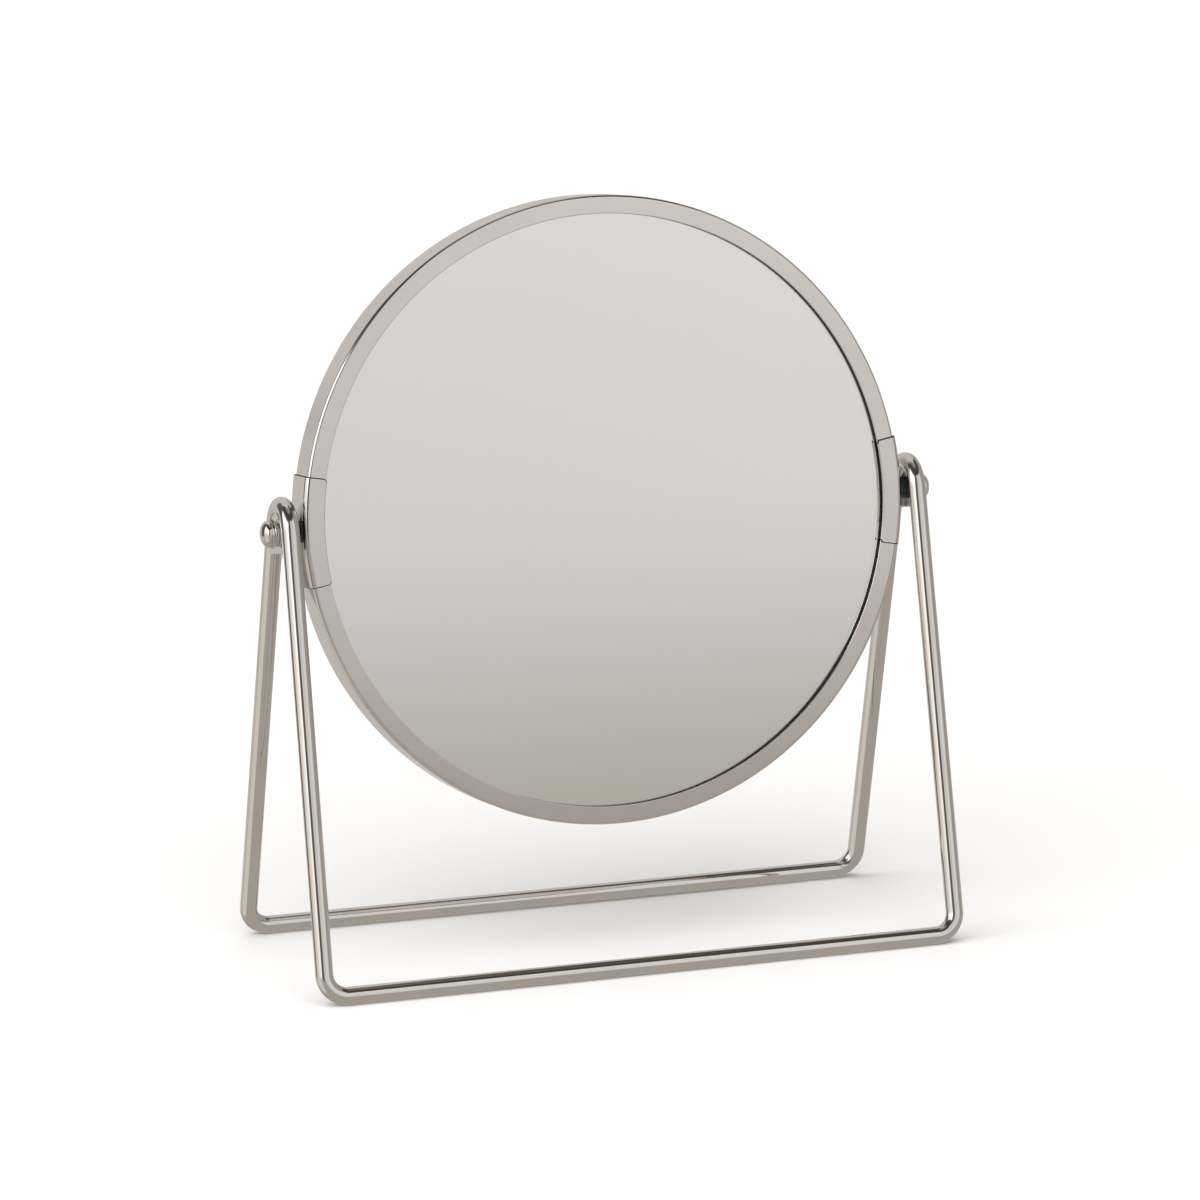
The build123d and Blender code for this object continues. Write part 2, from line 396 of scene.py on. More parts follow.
class Nodes:
    """A material's node tree, with short ways to add to it."""

    def __init__(self, name):
        self.material = bpy.data.materials.new(name)
        self.material.use_nodes = True
        self.tree = self.material.node_tree
        self.shader = self.tree.nodes["Principled BSDF"]
        self.where = self.add("ShaderNodeTexCoord")

    def add(self, kind, **values):
        node = self.tree.nodes.new(kind)
        for name, value in values.items():
            setattr(node, name, value)
        return node

    def link(self, a, b):
        self.tree.links.new(a, b)

    def feed(self, name, value):
        """Drive the shader's input of that name by a node."""
        self.link(value, self.shader.inputs[name])

    def set(self, **values):
        """Give the shader's inputs fixed values."""
        for name, value in values.items():
            self.shader.inputs[name.replace("_", " ")].default_value = value

    def mapped(self, scale, space="Object"):
        node = self.add("ShaderNodeMapping")
        node.inputs["Scale"].default_value = scale
        self.link(self.where.outputs[space], node.inputs["Vector"])
        return node.outputs["Vector"]

    def noise(self, scale, space="Object", detail=3.0, stretch=(1, 1, 1), rough=0.5):
        node = self.add("ShaderNodeTexNoise")
        node.inputs["Scale"].default_value = scale
        node.inputs["Detail"].default_value = detail
        node.inputs["Roughness"].default_value = rough
        self.link(self.mapped(stretch, space), node.inputs["Vector"])
        return node.outputs["Fac"]

    def spread(self, value, low, high):
        """A noise's usual range stretched to low..high."""
        node = self.add("ShaderNodeMapRange", interpolation_type="SMOOTHSTEP")
        node.inputs["From Min"].default_value = NOISE_RANGE[0]
        node.inputs["From Max"].default_value = NOISE_RANGE[1]
        node.inputs["To Min"].default_value = low
        node.inputs["To Max"].default_value = high
        self.link(value, node.inputs["Value"])
        return node.outputs["Result"]

    def blend(self, factor, low, high):
        """A colour between two, by factor."""
        node = self.add("ShaderNodeMix", data_type="RGBA")
        node.inputs[6].default_value = (*low, 1)
        node.inputs[7].default_value = (*high, 1)
        self.link(factor, node.inputs["Factor"])
        return node.outputs[2]

    def bump(self, height, distance, below=None):
        node = self.add("ShaderNodeBump")
        node.inputs["Distance"].default_value = distance
        self.link(height, node.inputs["Height"])
        if below:
            self.link(below, node.inputs["Normal"])
        return node.outputs["Normal"]


def chrome(name, colours, roughness, streaks, wave, patches=55.0):
    """Polished plating: haze in patches, fine lines along the work, and a faint waviness."""
    nodes = Nodes(name)
    haze = nodes.noise(patches, detail=4.0)
    nodes.feed("Base Color", nodes.blend(nodes.spread(haze, 0, 1), *colours))
    smudge = nodes.noise(140.0, detail=5.0, rough=0.6)
    nodes.feed("Roughness", nodes.spread(smudge, *roughness))
    lines = nodes.noise(1.0, space="UV", detail=2.0, stretch=streaks)
    waves = nodes.noise(90.0, detail=1.0)
    normal = nodes.bump(waves, wave)
    nodes.feed("Normal", nodes.bump(lines, wave * 0.05, normal))
    nodes.set(Metallic=1.0)
    return nodes.material


def dull_steel(name, colours):
    """Steel that isn't polished: the inside of the rim, cut ends and plain washers. The near-black inside
    and the dark cut ends are painted shade.
    """
    nodes = Nodes(name)
    stain = nodes.noise(120.0, detail=5.0)
    nodes.feed("Base Color", nodes.blend(nodes.spread(stain, 0, 1), *colours))
    nodes.feed("Roughness", nodes.spread(stain, 0.45, 0.65))
    nodes.feed("Normal", nodes.bump(nodes.noise(900.0), STEEL_GRAIN_DEPTH))
    nodes.set(Metallic=0.6)
    return nodes.material


def clear_glass(name):
    """Float glass with a trace of dust and wiping marks."""
    nodes = Nodes(name)
    marks = nodes.noise(18.0, detail=3.0, stretch=(1, 1, 2.5))
    nodes.feed("Roughness", nodes.spread(marks, 0.0, 0.012))
    nodes.set(IOR=1.5, Transmission_Weight=1.0, Base_Color=(0.985, 0.995, 0.985, 1))
    return nodes.material


def silver(name):
    """The silvering behind a glass, a little uneven."""
    nodes = Nodes(name)
    patch = nodes.noise(12.0, detail=2.0)
    tint = nodes.blend(nodes.spread(patch, 0, 1), (0.925, 0.92, 0.91), (0.935, 0.93, 0.92))
    nodes.feed("Base Color", tint)
    nodes.feed("Roughness", nodes.spread(patch, 0.0, 0.01))
    nodes.set(Metallic=1.0)
    return nodes.material


def moulded(name, colours, grain, rough, patches=80.0):
    """A dull plastic, card or foam: colour in patches and a fine grain."""
    nodes = Nodes(name)
    patch = nodes.noise(patches, detail=4.0)
    nodes.feed("Base Color", nodes.blend(nodes.spread(patch, 0, 1), *colours))
    nodes.feed("Roughness", nodes.spread(patch, rough - 0.08, rough + 0.08))
    nodes.feed("Normal", nodes.bump(nodes.noise(grain, detail=2.0), MOULDED_GRAIN_DEPTH))
    return nodes.material


STAND_CHROME = chrome(
    "stand_chrome",
    colours=POLISHED,
    roughness=(0.03, 0.07),
    streaks=(0.02, 6.0, 1),
    wave=3e-6,
)
RIM_CHROME = chrome(
    "rim_chrome",
    colours=POLISHED,
    roughness=(0.03, 0.08),
    streaks=(0.02, 5.0, 1),
    wave=3e-6,
)
PIVOT_CHROME = chrome(
    "pivot_chrome",
    colours=((0.73, 0.71, 0.69), (0.77, 0.75, 0.73)),
    roughness=(0.04, 0.09),
    streaks=(0.3, 3.0, 1),
    wave=2e-6,
)
# The plate's inner face is painted near black in mottled patches: painted shade and painted dark
# reflections in the narrow gap between the plate, the bush and the wire
PLATE_INSIDE_PAINTED_SHADE = chrome(
    "plate_inside_painted_shade",
    colours=((0.03, 0.025, 0.02), (0.30, 0.28, 0.26)),
    roughness=(0.10, 0.30),
    streaks=(0.3, 3.0, 1),
    wave=2e-5,
    patches=450.0,
)
# The rim's and the clips' inner faces are dull steel painted near black: painted shade inside the closed
# channel
INSIDE_PAINTED_SHADE = dull_steel("rim_inside_painted_shade", colours=((0.02, 0.02, 0.02), (0.05, 0.048, 0.045)))
# The clips' cut ends are dull cut steel painted dark: a painted shadow line where each clip ends on the
# rim
CUT_EDGE_PAINTED_SHADOW = dull_steel("cut_edge_painted_shadow", colours=((0.05, 0.045, 0.04), (0.10, 0.09, 0.08)))
ZINC = dull_steel("zinc_steel", colours=((0.45, 0.45, 0.44), (0.56, 0.55, 0.53)))
GLASS = clear_glass("mirror_glass")
SILVER = silver("silver")
# Black nylon, with lighter patches that are painted highlights: the mottled glints on the dark bush
BUSH_WITH_PAINTED_GLINTS = moulded(
    "bush_plastic",
    colours=((0.015, 0.015, 0.015), (0.07, 0.065, 0.06)),
    grain=700.0,
    rough=0.35,
    patches=350.0,
)
SPACER = moulded(
    "spacer_plastic",
    colours=((0.05, 0.05, 0.05), (0.07, 0.07, 0.068)),
    grain=500.0,
    rough=0.5,
)
CARD = moulded("card", colours=((0.42, 0.35, 0.26), (0.52, 0.44, 0.34)), grain=1200.0, rough=0.75)
FOAM = moulded("foam", colours=((0.06, 0.06, 0.06), (0.10, 0.10, 0.10)), grain=1500.0, rough=0.9)


# The stand


def leg_angle():
    """A leg's angle from the vertical, seen from the side."""
    rise = PIVOT_Z - WIRE_R
    slope = math.atan2(BASE_HALF_DEPTH, rise)
    return slope - math.asin(ARCH_BEND_R / math.hypot(BASE_HALF_DEPTH, rise))


LEG_ANGLE = leg_angle()
APEX_Z = WIRE_R + BASE_HALF_DEPTH / math.tan(LEG_ANGLE)
LEG_LEAN = (BASE_HALF_WIDTH - PIVOT_HALF_WIDTH) / (PIVOT_Z - WIRE_R)
APEX_HALF_WIDTH = BASE_HALF_WIDTH - LEG_LEAN * (APEX_Z - WIRE_R)


def stand_wire():
    """The closed loop of wire: two bars, four legs and two arches."""
    corners = []
    for side in (1, -1):
        corners += [
            (side * BASE_HALF_WIDTH, -side * BASE_HALF_DEPTH, WIRE_R),
            (side * APEX_HALF_WIDTH, 0, APEX_Z),
            (side * BASE_HALF_WIDTH, side * BASE_HALF_DEPTH, WIRE_R),
        ]
    radii = [CORNER_BEND_R, ARCH_BEND_R, CORNER_BEND_R] * 2
    return tube(rounded(corners, radii, run_step=WIRE_RUN_STEP), WIRE_R, WIRE_SIDES)


def plate_outline(inset):
    """The plate's rounded triangle in (Y, Z) about the pivot, anticlockwise."""
    lean, fall = math.tan(LEG_ANGLE), math.tan(math.radians(PLATE_FOOT_DEG))
    arch_r = PLATE_ARCH_R - inset
    drop = PLATE_DROP - inset / math.cos(math.radians(PLATE_FOOT_DEG))
    half = arch_r / math.cos(LEG_ANGLE)  # level with the pivot
    foot = half + drop * lean
    front, rear = -foot / (1 + fall * lean), foot / (1 - fall * lean)
    apex = (0, half / lean)
    corners = [(front, -drop - fall * front), (rear, -drop - fall * rear), apex]
    return rounded(corners, [PLATE_CORNER_R - inset, PLATE_CORNER_R - inset, arch_r])


def pivot_plate():
    """The plate with its edge rounded and its bore, as rows from bore to bore.

    Finish 0 is all of it but the inner face, which is finish 1, painted dark as shade.
    """
    inner_x, outer_x = x_range("pivot_plate_right")
    bore_r = SHANK_D / 2 + RUNNING_GAP
    edge_r = PLATE_EDGE_R
    x_dir = Vector((1, 0, 0))
    rows = []
    for p, _, d in plate_outline(edge_r):
        out = Vector((0, d.y, -d.x))
        at_edge = Vector((0, p.x, p.y))
        at_bore = at_edge.normalized() * bore_r
        to_bore = -at_bore.normalized()
        row = [
            (at_bore + x_dir * inner_x, to_bore, to_bore),
            (at_bore + x_dir * outer_x, to_bore, x_dir),
        ]
        for centre_x, first in ((outer_x - edge_r, 90), (inner_x + edge_r, 0)):
            for s in range(PLATE_EDGE_PARTS + 1):
                a = math.radians(first - 90 * s / PLATE_EDGE_PARTS)
                n = x_dir * math.sin(a) + out * math.cos(a)
                row.append((at_edge + x_dir * centre_x + n * edge_r, n, n))
        row.append((at_bore + x_dir * inner_x, -x_dir, to_bore))
        rows.append(row)
    shape = Shape()
    shape.skin(rows, [0] * (len(rows[0]) - 2) + [1])
    return shape.placed(Matrix.Translation((0, 0, PIVOT_Z)))


def weld_beads():
    """Low beads in the valleys between the plate's two faces and the wire."""
    lean = math.tan(LEG_ANGLE)
    foot_z = WELD_END - PLATE_DROP

    def ripple(t):
        """The bead's thickness varies a little along it."""
        return 1.0 + 0.08 * math.sin(61 * t) + 0.05 * math.sin(23 * t + 1)

    beads = Shape()
    for face_x in x_range("pivot_plate_right"):
        reach = math.sqrt(WIRE_R**2 - (face_x - PIVOT_HALF_WIDTH) ** 2)
        arch_r = ARCH_BEND_R - reach
        half = arch_r / math.cos(LEG_ANGLE)
        foot_y = half - foot_z * lean
        corners = [(-foot_y, foot_z), (0, half / lean), (foot_y, foot_z)]
        stations = []
        for p, _, b in rounded(corners, [0, arch_r, 0], closed=False, run_step=WELD_RUN_STEP):
            d = Vector((0, b.x, b.y))
            stations.append((Vector((face_x - LEG_LEAN * p.y, p.x, p.y + PIVOT_Z)), d, d))
        beads = joined(beads, tube(stations, WELD_R, WELD_SIDES, closed=False, vary=ripple))
    return beads


def joined(a, b):
    """Two shapes as one, without welding them together."""
    made = Shape()
    for part in (a, b):
        base = len(made.points)
        made.points += part.points
        made.faces += [[base + i for i in face] for face in part.faces]
        made.normals += part.normals
        made.uvs += part.uvs
        made.finishes += part.finishes
    return made


# The pivots


def ring(node, bore_r, edge_r, slit=0.0):
    """A washer or bush along the pivot where its CAD node is, with rounded edges."""
    low_x, high_x = x_range(node)
    low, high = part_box(node)
    outer_r = (high.y - low.y) / MM / 2
    corners = [(bore_r, low_x), (outer_r, low_x), (outer_r, high_x), (bore_r, high_x)]
    section = outward(rounded(corners, [edge_r] * 4, step_deg=EDGE_STEP_DEG))
    half_slit = math.degrees(slit / 2 / outer_r)
    return turned(section, PIVOT_PLACE, -90 + half_slit, 270 - half_slit)


def rivet():
    """An elliptical head, the shank, and a set tail with rounded edges."""
    tail_x, crown_x = x_range("pivot_rivet_right")
    _, head_x = x_range("flat_washer_right")
    head_r, shank_r, tail_r = HEAD_D / 2, SHANK_D / 2, TAIL_D / 2
    dome_x = head_x + HEAD_SKIRT_H
    rise = crown_x - head_x - HEAD_SKIRT_H
    dome = []
    for s in range(DOME_PARTS + 1):
        a = math.radians(90 * s / DOME_PARTS)
        p = Vector((head_r * math.cos(a), dome_x + rise * math.sin(a), 0))
        n = Vector((math.cos(a) / head_r, math.sin(a) / rise, 0)).normalized()
        dome.append((p, n, n))
    corners = [
        (0, tail_x),
        (tail_r, tail_x),
        (tail_r, tail_x + TAIL_H),
        (shank_r, tail_x + TAIL_H),
        (shank_r, head_x),
        (head_r, head_x),
        (head_r, dome_x),
    ]
    radii = [0, TAIL_TIP_R, TAIL_SHOULDER_R, 0, 0, HEAD_EDGE_R, 0]
    rest = outward(rounded(corners, radii, closed=False, step_deg=EDGE_STEP_DEG))
    return turned(rest[:-1] + dome, PIVOT_PLACE)


# The mirror head


def channel(lip_r, outer_r, half_depth, sheet, fold_r):
    """Section of the rolled channel in (radius, height), anticlockwise."""
    inner_r, inner_half = outer_r - sheet, half_depth - sheet
    corners = [
        (lip_r, -half_depth),
        (outer_r, -half_depth),
        (outer_r, half_depth),
        (lip_r, half_depth),
        (lip_r, inner_half),
        (inner_r, inner_half),
        (inner_r, -inner_half),
        (lip_r, -inner_half),
    ]
    inner_fold = fold_r - sheet
    folds = [SHEET_EDGE_R, fold_r, fold_r, SHEET_EDGE_R]
    inner_folds = [SHEET_EDGE_R, inner_fold, inner_fold, SHEET_EDGE_R]
    return outward(rounded(corners, folds + inner_folds, step_deg=FOLD_STEP_DEG))


def rim_band():
    """The rolled channel, polished outside and dull inside, with its seam open. Its inside is painted
    near black as shade.
    """
    section = channel(LIP_R, RIM_R, HALF_DEPTH, RIM_SHEET, RIM_FOLD_R)

    def inside(p):
        deep = LIP_R + SHEET_EDGE_R - NEAR < p.x < RIM_R - RIM_SHEET + NEAR
        return deep and abs(p.y) < HALF_DEPTH - RIM_SHEET + NEAR

    finish = [int(inside(a[0]) and inside(b[0])) for a, b in zip(section, section[1:])]
    half_seam = math.degrees(SEAM_GAP / 2 / RIM_R)
    start = SEAM_DEG + half_seam
    end = SEAM_DEG + 360 - half_seam
    return turned(section, HEAD_PLACE, start, end, RIM_STEP_DEG, finish)


def clip_path(edge):
    """The clip's middle surface across the rim: (radius, height, normal, angle at the end)."""
    outer_r = RIM_R + CLIP_GAP + CLIP_SHEET / 2
    half = HALF_DEPTH + CLIP_GAP + CLIP_SHEET / 2
    fold_r = RIM_FOLD_R + CLIP_GAP + CLIP_SHEET / 2
    lip_r = CLIP_LIP_R + edge
    corner_r = CLIP_CORNER_R - edge
    half_angle = CLIP_LENGTH / 2 / RIM_R - edge / RIM_R
    corner = []
    for s in range(CLIP_CORNER_PARTS + 1):
        a = math.radians(90 * s / CLIP_CORNER_PARTS)
        r = lip_r + corner_r * (1 - math.cos(a))
        short = corner_r * (1 - math.sin(a)) / r
        corner.append((r, half_angle - short))
    corners = [(lip_r, -half), (outer_r, -half), (outer_r, half), (lip_r, half)]
    across = rounded(corners, [0, fold_r, fold_r, 0], closed=False, step_deg=CLIP_FOLD_STEP_DEG)
    middle = [(p.x, p.y, Vector((a.y, -a.x, 0)), half_angle) for p, a, _ in across[1:-1]]
    front = [(r, -half, Vector((0, -1, 0)), angle) for r, angle in corner]
    back = [(r, half, Vector((0, 1, 0)), angle) for r, angle in reversed(corner)]
    return front + middle + back


def rim_clip():
    """A folded sheet with a rounded edge all round, over the right-hand pivot.

    Finish 0 is its outside and its lips' edges, 1 its inside, painted near black as shade, and 2 its two
    cut ends, painted dark as a shadow line.
    """
    edge = CLIP_SHEET / 2
    grid = []
    for r, y, n, angle in clip_path(edge):
        row = []
        for s in range(CLIP_COLUMNS + 1):
            a = angle * (2 * s / CLIP_COLUMNS - 1)
            out = Vector((math.cos(a), 0, math.sin(a)))
            row.append((out * r + Vector((0, y, 0)), out * n.x + Vector((0, n.y, 0))))
        grid.append(row)
    shape = Shape()
    for side, finish in ((1, 0), (-1, 1)):
        faces = [[(p + n * edge * side, n * side, n * side) for p, n in row] for row in grid]
        shape.skin(faces, finish)
    last = len(grid) - 1
    loop = grid[0][:-1] + [row[-1] for row in grid[:-1]]
    loop += grid[last][:0:-1] + [row[0] for row in grid[:0:-1]]
    count = len(loop)
    rows = []
    for k in range(count + 1):
        p, n = loop[k % count]
        along = (loop[(k + 1) % count][0] - loop[(k - 1) % count][0]).normalized()
        out = n.cross(along).normalized()
        row = []
        for s in range(CLIP_EDGE_PARTS + 1):
            a = math.radians(90 - 180 * s / CLIP_EDGE_PARTS)
            m = out * math.cos(a) + n * math.sin(a)
            row.append((p + m * edge, m, m))
        rows.append(row)
    start = 0
    for length, finish in ((CLIP_COLUMNS, 0), (last, 2)) * 2:
        shape.skin(rows[start : start + length + 1], finish)
        start += length
    return shape.placed(HEAD_PLACE)


def plate_section(radius, low, high, bevel, rings=1):
    """Half section of a round plate from low(r) to high(r), its edges bevelled."""

    def side(height, sign):
        made = []
        for s in range(rings + 1):
            r = (radius - bevel) * s / rings
            slope = (height(r + NEAR) - height(r - NEAR)) / (2 * NEAR)
            n = Vector((-slope * sign, sign, 0)).normalized()
            made.append((Vector((r, height(r), 0)), n, n))
        return made

    bottom, top = side(low, -1), side(high, 1)
    down = Vector((1, -1, 0)).normalized()
    out = Vector((1, 0, 0))
    up = Vector((1, 1, 0)).normalized()
    low_edge, low_normal, _ = bottom.pop()
    high_edge, high_normal, _ = top.pop()
    rim = [
        (low_edge, low_normal, down),
        (Vector((radius, low(radius) + bevel, 0)), down, out),
        (Vector((radius, high(radius) - bevel, 0)), out, up),
        (high_edge, up, high_normal),
    ]
    return bottom + rim + top[::-1]


def dish(centre_y):
    """Height of a face of the hollow mirror over its radius."""

    def height(r):
        return centre_y + MAGNIFIER_CURVE_R - math.sqrt(MAGNIFIER_CURVE_R**2 - r**2)

    return height


def flat(y):
    """Height of a flat face, which is the same over its whole radius."""

    def height(r):
        return y

    return height


MAGNIFIER_CENTRE_Y = GLASS_FACE_Y - LIP_CLEARANCE - dish(0)(GLASS_R)
MAGNIFIER_BACK_Y = MAGNIFIER_CENTRE_Y - GLASS_T + LIP_CLEARANCE
PLAIN_BACK_Y = GLASS_T - GLASS_FACE_Y


def mirror_layer(radius, low, high, bevel, rings=1):
    """A glass or its silvering, between two heights over its radius."""
    section = plate_section(radius, low, high, bevel, rings)
    return turned(section, HEAD_PLACE, step_deg=GLASS_STEP_DEG)


def plain_glass():
    return mirror_layer(GLASS_R, flat(LIP_CLEARANCE - GLASS_FACE_Y), flat(PLAIN_BACK_Y), GLASS_BEVEL)


def plain_silvering():
    low, high = flat(PLAIN_BACK_Y - SILVER_SINK), flat(PLAIN_BACK_Y + SILVER_T)
    return mirror_layer(SILVER_R, low, high, SILVER_BEVEL)


def hollow_glass():
    low, high = dish(MAGNIFIER_BACK_Y), dish(MAGNIFIER_CENTRE_Y)
    return mirror_layer(GLASS_R, low, high, GLASS_BEVEL, GLASS_RINGS)


def hollow_silvering():
    low, high = dish(MAGNIFIER_BACK_Y - SILVER_T), dish(MAGNIFIER_BACK_Y + SILVER_SINK)
    return mirror_layer(SILVER_R, low, high, SILVER_BEVEL, GLASS_RINGS)


def foam_pad():
    """A disc of foam on the card, highest in the middle, just under the hollow mirror."""
    low = PLAIN_BACK_Y + SILVER_T + CARD_T
    high = MAGNIFIER_BACK_Y - SILVER_T - PAD_GAP

    def crown(r):
        return high - PAD_CROWN * (r / PAD_R) ** 2

    section = plate_section(PAD_R, flat(low), crown, PAD_BEVEL, PAD_RINGS)
    return turned(section, HEAD_PLACE, step_deg=PAD_STEP_DEG)


# Assembly


def show(shape, name, body, slot, finishes, *nodes):
    """A shape as a piece of the model, on a body, standing for these CAD nodes."""
    piece = shape.piece(name, finishes)
    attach(piece, body)
    if nodes:
        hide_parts(*nodes)
    return piece


def build_single_pieces():
    """The wire loop, the rim, and what the rim holds."""
    stand, head = "stand", "mirror_head"
    rim_finishes = [RIM_CHROME, INSIDE_PAINTED_SHADE]
    show(stand_wire(), "stand_wire_loop", stand, "stand_chrome", [STAND_CHROME], "stand_wire")
    show(rim_band(), "rim_channel", head, "rim_chrome", rim_finishes, "rim_band")
    show(plain_glass(), "plain_glass", head, "mirror_glass", [GLASS], "plain_mirror_glass")
    show(plain_silvering(), "plain_silver", head, "silver", [SILVER], "plain_mirror_silvering")
    show(hollow_glass(), "magnifying_glass", head, "mirror_glass", [GLASS], "magnifying_mirror_glass")
    show(hollow_silvering(), "magnifying_silver", head, "silver", [SILVER], "magnifying_mirror_silvering")
    show(foam_pad(), "foam_pad", head, "foam", [FOAM], "centre_pad")


def build_pivots():
    """What is at each pivot: made at the right-hand one, and mirrored for the left."""
    stand, head = "stand", "mirror_head"
    hole_r = SHANK_D / 2 + HOLE_GAP
    flat_washer = ring("flat_washer_right", hole_r, FLAT_WASHER_EDGE_R)
    split_washer = ring("spring_washer_right", hole_r, SPRING_WASHER_EDGE_R, SPRING_WASHER_SLIT)
    bush = ring("pivot_bush_right", hole_r, BUSH_EDGE_R)
    plate_finishes = [STAND_CHROME, PLATE_INSIDE_PAINTED_SHADE]
    clip_finishes = [RIM_CHROME, INSIDE_PAINTED_SHADE, CUT_EDGE_PAINTED_SHADOW]
    shapes = [
        (pivot_plate(), "plate", stand, "stand_chrome", plate_finishes, ["pivot_plate"]),
        (weld_beads(), "weld_bead", stand, "stand_chrome", [STAND_CHROME], []),
        (split_washer, "split_washer", stand, "pivot_chrome", [PIVOT_CHROME], ["spring_washer"]),
        (rivet(), "rivet", head, "pivot_chrome", [PIVOT_CHROME], ["pivot_rivet"]),
        (flat_washer, "washer", head, "pivot_chrome", [PIVOT_CHROME], ["flat_washer"]),
        (bush, "bush", head, "bush_plastic", [BUSH_WITH_PAINTED_GLINTS], ["pivot_bush"]),
        (rim_clip(), "clip", head, "rim_chrome", clip_finishes, ["rim_clip"]),
    ]
    for side, matrix in (("right", Matrix.Identity(4)), ("left", MIRRORED)):
        for shape, name, body, slot, finishes, nodes in shapes:
            made_from = [f"{node}_{side}" for node in nodes]
            show(shape.placed(matrix), f"{name}_{side}", body, slot, finishes, *made_from)


def finish_cad_pieces():
    """Better materials for the CAD pieces that stay as they are."""
    for node, material in (
        ("backing_card", CARD),
        ("spacer_ring", SPACER),
        ("backing_washer_left", ZINC),
        ("backing_washer_right", ZINC),
    ):
        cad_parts[node].material_slots[0].material = material


build_single_pieces()
build_pivots()
finish_cad_pieces()


# Studio: places are in metres and angles in degrees

FLOOR_WIDTH = 9.0
FLOOR_COLOURS = ((0.86, 0.86, 0.86), (0.88, 0.88, 0.88))


def floor():
    """A wide pale floor, which polished metal doesn't reflect: the room does that."""
    half = FLOOR_WIDTH / 2
    corners = [(-half, -half, 0), (half, -half, 0), (half, half, 0), (-half, half, 0)]
    mesh = bpy.data.meshes.new("floor")
    mesh.from_pydata(corners, [], [(0, 1, 2, 3)])
    made = bpy.data.objects.new("floor", mesh)
    bpy.context.scene.collection.objects.link(made)
    nodes = Nodes("floor")
    patches = nodes.spread(nodes.noise(3.0, detail=2.0), 0, 1)
    nodes.feed("Base Color", nodes.blend(patches, *FLOOR_COLOURS))
    nodes.set(Roughness=0.9)
    mesh.materials.append(nodes.material)
    made.visible_glossy = False
    made.visible_transmission = False


DEGREES = 180 / math.pi


class World:
    """The world's node tree, with short ways to add surfaces to it.

    rise is a direction's height over the horizon, in degrees. A card's facing is 0
    straight in front of the object and 90 to its right.
    """

    def __init__(self):
        world = bpy.data.worlds.new("room")
        bpy.context.scene.world = world
        world.use_nodes = True
        self.tree = world.node_tree
        self.tree.nodes.clear()
        where = self.add("ShaderNodeTexCoord")
        split = self.add("ShaderNodeSeparateXYZ")
        self.tree.links.new(where.outputs["Generated"], split.inputs[0])
        self.x, self.y, z = split.outputs
        self.rise = self.product(self.math("ARCSINE", z), DEGREES)

    def add(self, kind, **values):
        node = self.tree.nodes.new(kind)
        for name, value in values.items():
            setattr(node, name, value)
        return node

    def math(self, operation, a, b=None):
        node = self.add("ShaderNodeMath", operation=operation)
        for k, value in enumerate((a, b)):
            if isinstance(value, (int, float)):
                node.inputs[k].default_value = value
            elif value is not None:
                self.tree.links.new(value, node.inputs[k])
        return node.outputs[0]

    def product(self, a, b):
        return self.math("MULTIPLY", a, b)

    def step(self, value, low, high):
        """0 below low and 1 above high, smoothly."""
        node = self.add("ShaderNodeMapRange", interpolation_type="SMOOTHSTEP")
        node.inputs["From Min"].default_value = low
        node.inputs["From Max"].default_value = high
        self.tree.links.new(value, node.inputs["Value"])
        return node.outputs["Result"]

    def mix(self, factor, low, high):
        """From one colour to another, by factor."""
        node = self.add("ShaderNodeMix", data_type="RGBA")
        for k, value in ((0, factor), (6, low), (7, high)):
            if isinstance(value, tuple):
                node.inputs[k].default_value = (*value, 1)
            elif isinstance(value, float):
                node.inputs[k].default_value = value
            else:
                self.tree.links.new(value, node.inputs[k])
        return node.outputs[2]

    def card(self, facing, half_width, low, high, soft):
        """1 on a card that fills these angles and 0 off it, with soft edges."""
        cosine = math.cos(math.radians(facing))
        sine = math.sin(math.radians(facing))
        sideways = self.math("ADD", self.product(self.x, cosine), self.product(self.y, sine))
        ahead = self.math("SUBTRACT", self.product(self.x, sine), self.product(self.y, cosine))
        turn = self.math("ABSOLUTE", self.math("ARCTAN2", sideways, ahead))
        turn = self.product(turn, DEGREES)
        within = self.math("SUBTRACT", 1.0, self.step(turn, half_width - soft, half_width + soft))
        under = self.math("SUBTRACT", 1.0, self.step(self.rise, high - soft, high + soft))
        over = self.step(self.rise, low - soft, low + soft)
        return self.product(self.product(within, under), over)

    def hang(self, behind, card_colour, facing, half_width, low=-90, high=90, soft=10):
        """A card in front of what is behind it. It fills all heights unless told otherwise."""
        return self.mix(self.card(facing, half_width, low, high, soft), behind, card_colour)

    def stack(self, lower, upper, edge):
        """One surface over another, with a soft edge between two heights."""
        return self.mix(self.step(self.rise, *edge), lower, upper)


# The room's colours, as polished metal sees it
TABLE = (0.45, 0.41, 0.37)
FAR_TABLE = (0.62, 0.58, 0.54)  # behind the object
LIT_TABLE = (0.75, 0.69, 0.62)  # under the softbox
SIDE_WALLS = (0.40, 0.37, 0.34)
PALE_SCREEN = (0.71, 0.68, 0.65)
SCREEN_GLOW = (0.84, 0.81, 0.78)  # the lit middle of the screen
REAR_WALL = (0.65, 0.61, 0.58)
CURTAIN = (0.13, 0.11, 0.10)
CEILING = (0.07, 0.06, 0.05)
SKYLIGHT = (0.30, 0.28, 0.26)
SOFTBOX = (1.6, 1.6, 1.6)
SOFTBOX_FOOT = (1.05, 0.97, 0.88)  # it fades towards its lower edge
BLACK = (0.0, 0.0, 0.0)
BACKDROP = (0.93, 0.93, 0.93)  # what the camera sees past the floor
FOOT_SHADE = 0.12  # of the walls' light is lost beside the table

# Heights between which one surface gives way to the next
SHADE_EDGE = (0, 7)
TABLE_EDGE = (-2.5, 1.5)
CEILING_EDGE = (44, 52)
SKYLIGHT_EDGE = (66, 80)
SOFTBOX_FOOT_EDGE = (2, 13)


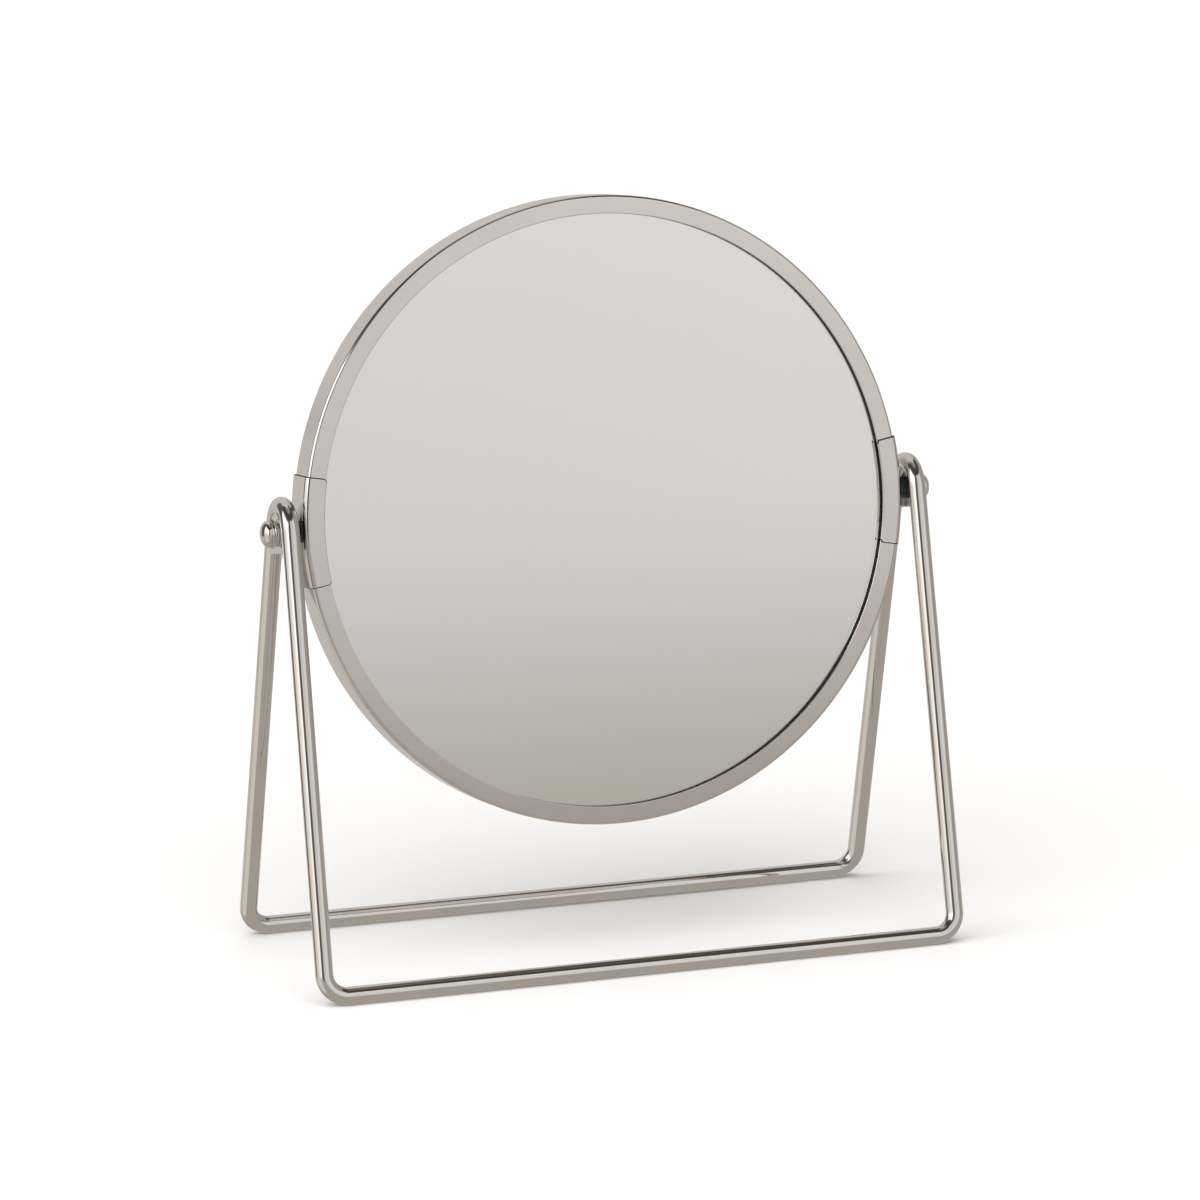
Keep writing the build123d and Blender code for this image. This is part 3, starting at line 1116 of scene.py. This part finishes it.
def room():
    """Grey walls and a pale screen round a table, a softbox before curtains, a dark ceiling."""
    world = World()
    walls = world.hang(SIDE_WALLS, PALE_SCREEN, facing=15, half_width=35)
    walls = world.hang(walls, SCREEN_GLOW, facing=30, half_width=14, soft=12)
    walls = world.hang(walls, REAR_WALL, facing=180, half_width=30)
    walls = world.hang(walls, CURTAIN, facing=-83, half_width=66, soft=4)
    shaded = world.mix(FOOT_SHADE, walls, BLACK)
    walls = world.stack(shaded, walls, SHADE_EDGE)
    table = world.hang(TABLE, FAR_TABLE, facing=-175, half_width=55, low=-30, high=20, soft=12)
    table = world.hang(table, LIT_TABLE, facing=-85, half_width=30, low=-45, high=3, soft=6)
    colour = world.stack(table, walls, TABLE_EDGE)
    colour = world.stack(colour, CEILING, CEILING_EDGE)
    colour = world.stack(colour, SKYLIGHT, SKYLIGHT_EDGE)
    colour = world.hang(colour, REAR_WALL, facing=180, half_width=45, low=40, high=90, soft=8)
    colour = world.hang(colour, CURTAIN, facing=-132, half_width=14, low=-14, high=44, soft=4)
    softbox = world.stack(SOFTBOX_FOOT, SOFTBOX, SOFTBOX_FOOT_EDGE)
    colour = world.hang(colour, softbox, facing=-80, half_width=35, low=-2, high=38, soft=4)

    rays = world.add("ShaderNodeLightPath")
    colour = world.mix(rays.outputs["Is Camera Ray"], colour, BACKDROP)
    background = world.add("ShaderNodeBackground")
    world.tree.links.new(colour, background.inputs["Color"])
    output = world.add("ShaderNodeOutputWorld")
    world.tree.links.new(background.outputs[0], output.inputs["Surface"])


LAMP_SPREAD_DEG = 75.0
LAMP_STRENGTH = 2.9
LAMP_FROM = (-0.35, -0.3, 1.0)


def lamp():
    """A wide soft light from above, a little to the front left. The chrome doesn't show it."""
    light = bpy.data.lights.new("overhead", "SUN")
    light.angle = math.radians(LAMP_SPREAD_DEG)
    light.energy = LAMP_STRENGTH
    made = bpy.data.objects.new("overhead", light)
    bpy.context.scene.collection.objects.link(made)
    made.rotation_mode = "QUATERNION"
    made.rotation_quaternion = Vector(LAMP_FROM).to_track_quat("Z", "Y")
    made.visible_glossy = False
    made.visible_transmission = False


# The camera stands in front, to the object's left and a little above it
VIEW_AZIMUTH_DEG = -20.0
VIEW_ELEVATION_DEG = 12.6
VIEW_DISTANCE = 1.5
VIEW_HEIGHT = 0.0952  # of the point it looks at
VIEW_PAN = -0.0003  # of that point, to the right
LENS_MM = 166.0
SENSOR_MM = 36.0


def camera():
    """The photograph's viewpoint."""
    azimuth, elevation = math.radians(VIEW_AZIMUTH_DEG), math.radians(VIEW_ELEVATION_DEG)
    level = math.cos(elevation)
    back = Vector((math.sin(azimuth) * level, -math.cos(azimuth) * level, math.sin(elevation)))
    right = Vector((math.cos(azimuth), math.sin(azimuth), 0))
    target = Vector((0, 0, VIEW_HEIGHT)) + right * VIEW_PAN
    data = bpy.data.cameras.new("camera")
    data.sensor_width = SENSOR_MM
    data.lens = LENS_MM
    made = bpy.data.objects.new("camera", data)
    bpy.context.scene.collection.objects.link(made)
    made.location = target + back * VIEW_DISTANCE
    made.rotation_mode = "QUATERNION"
    made.rotation_quaternion = (-back).to_track_quat("-Z", "Y")
    bpy.context.scene.camera = made


floor()
room()
lamp()
camera()
bpy.context.scene.view_settings.view_transform = "Standard"
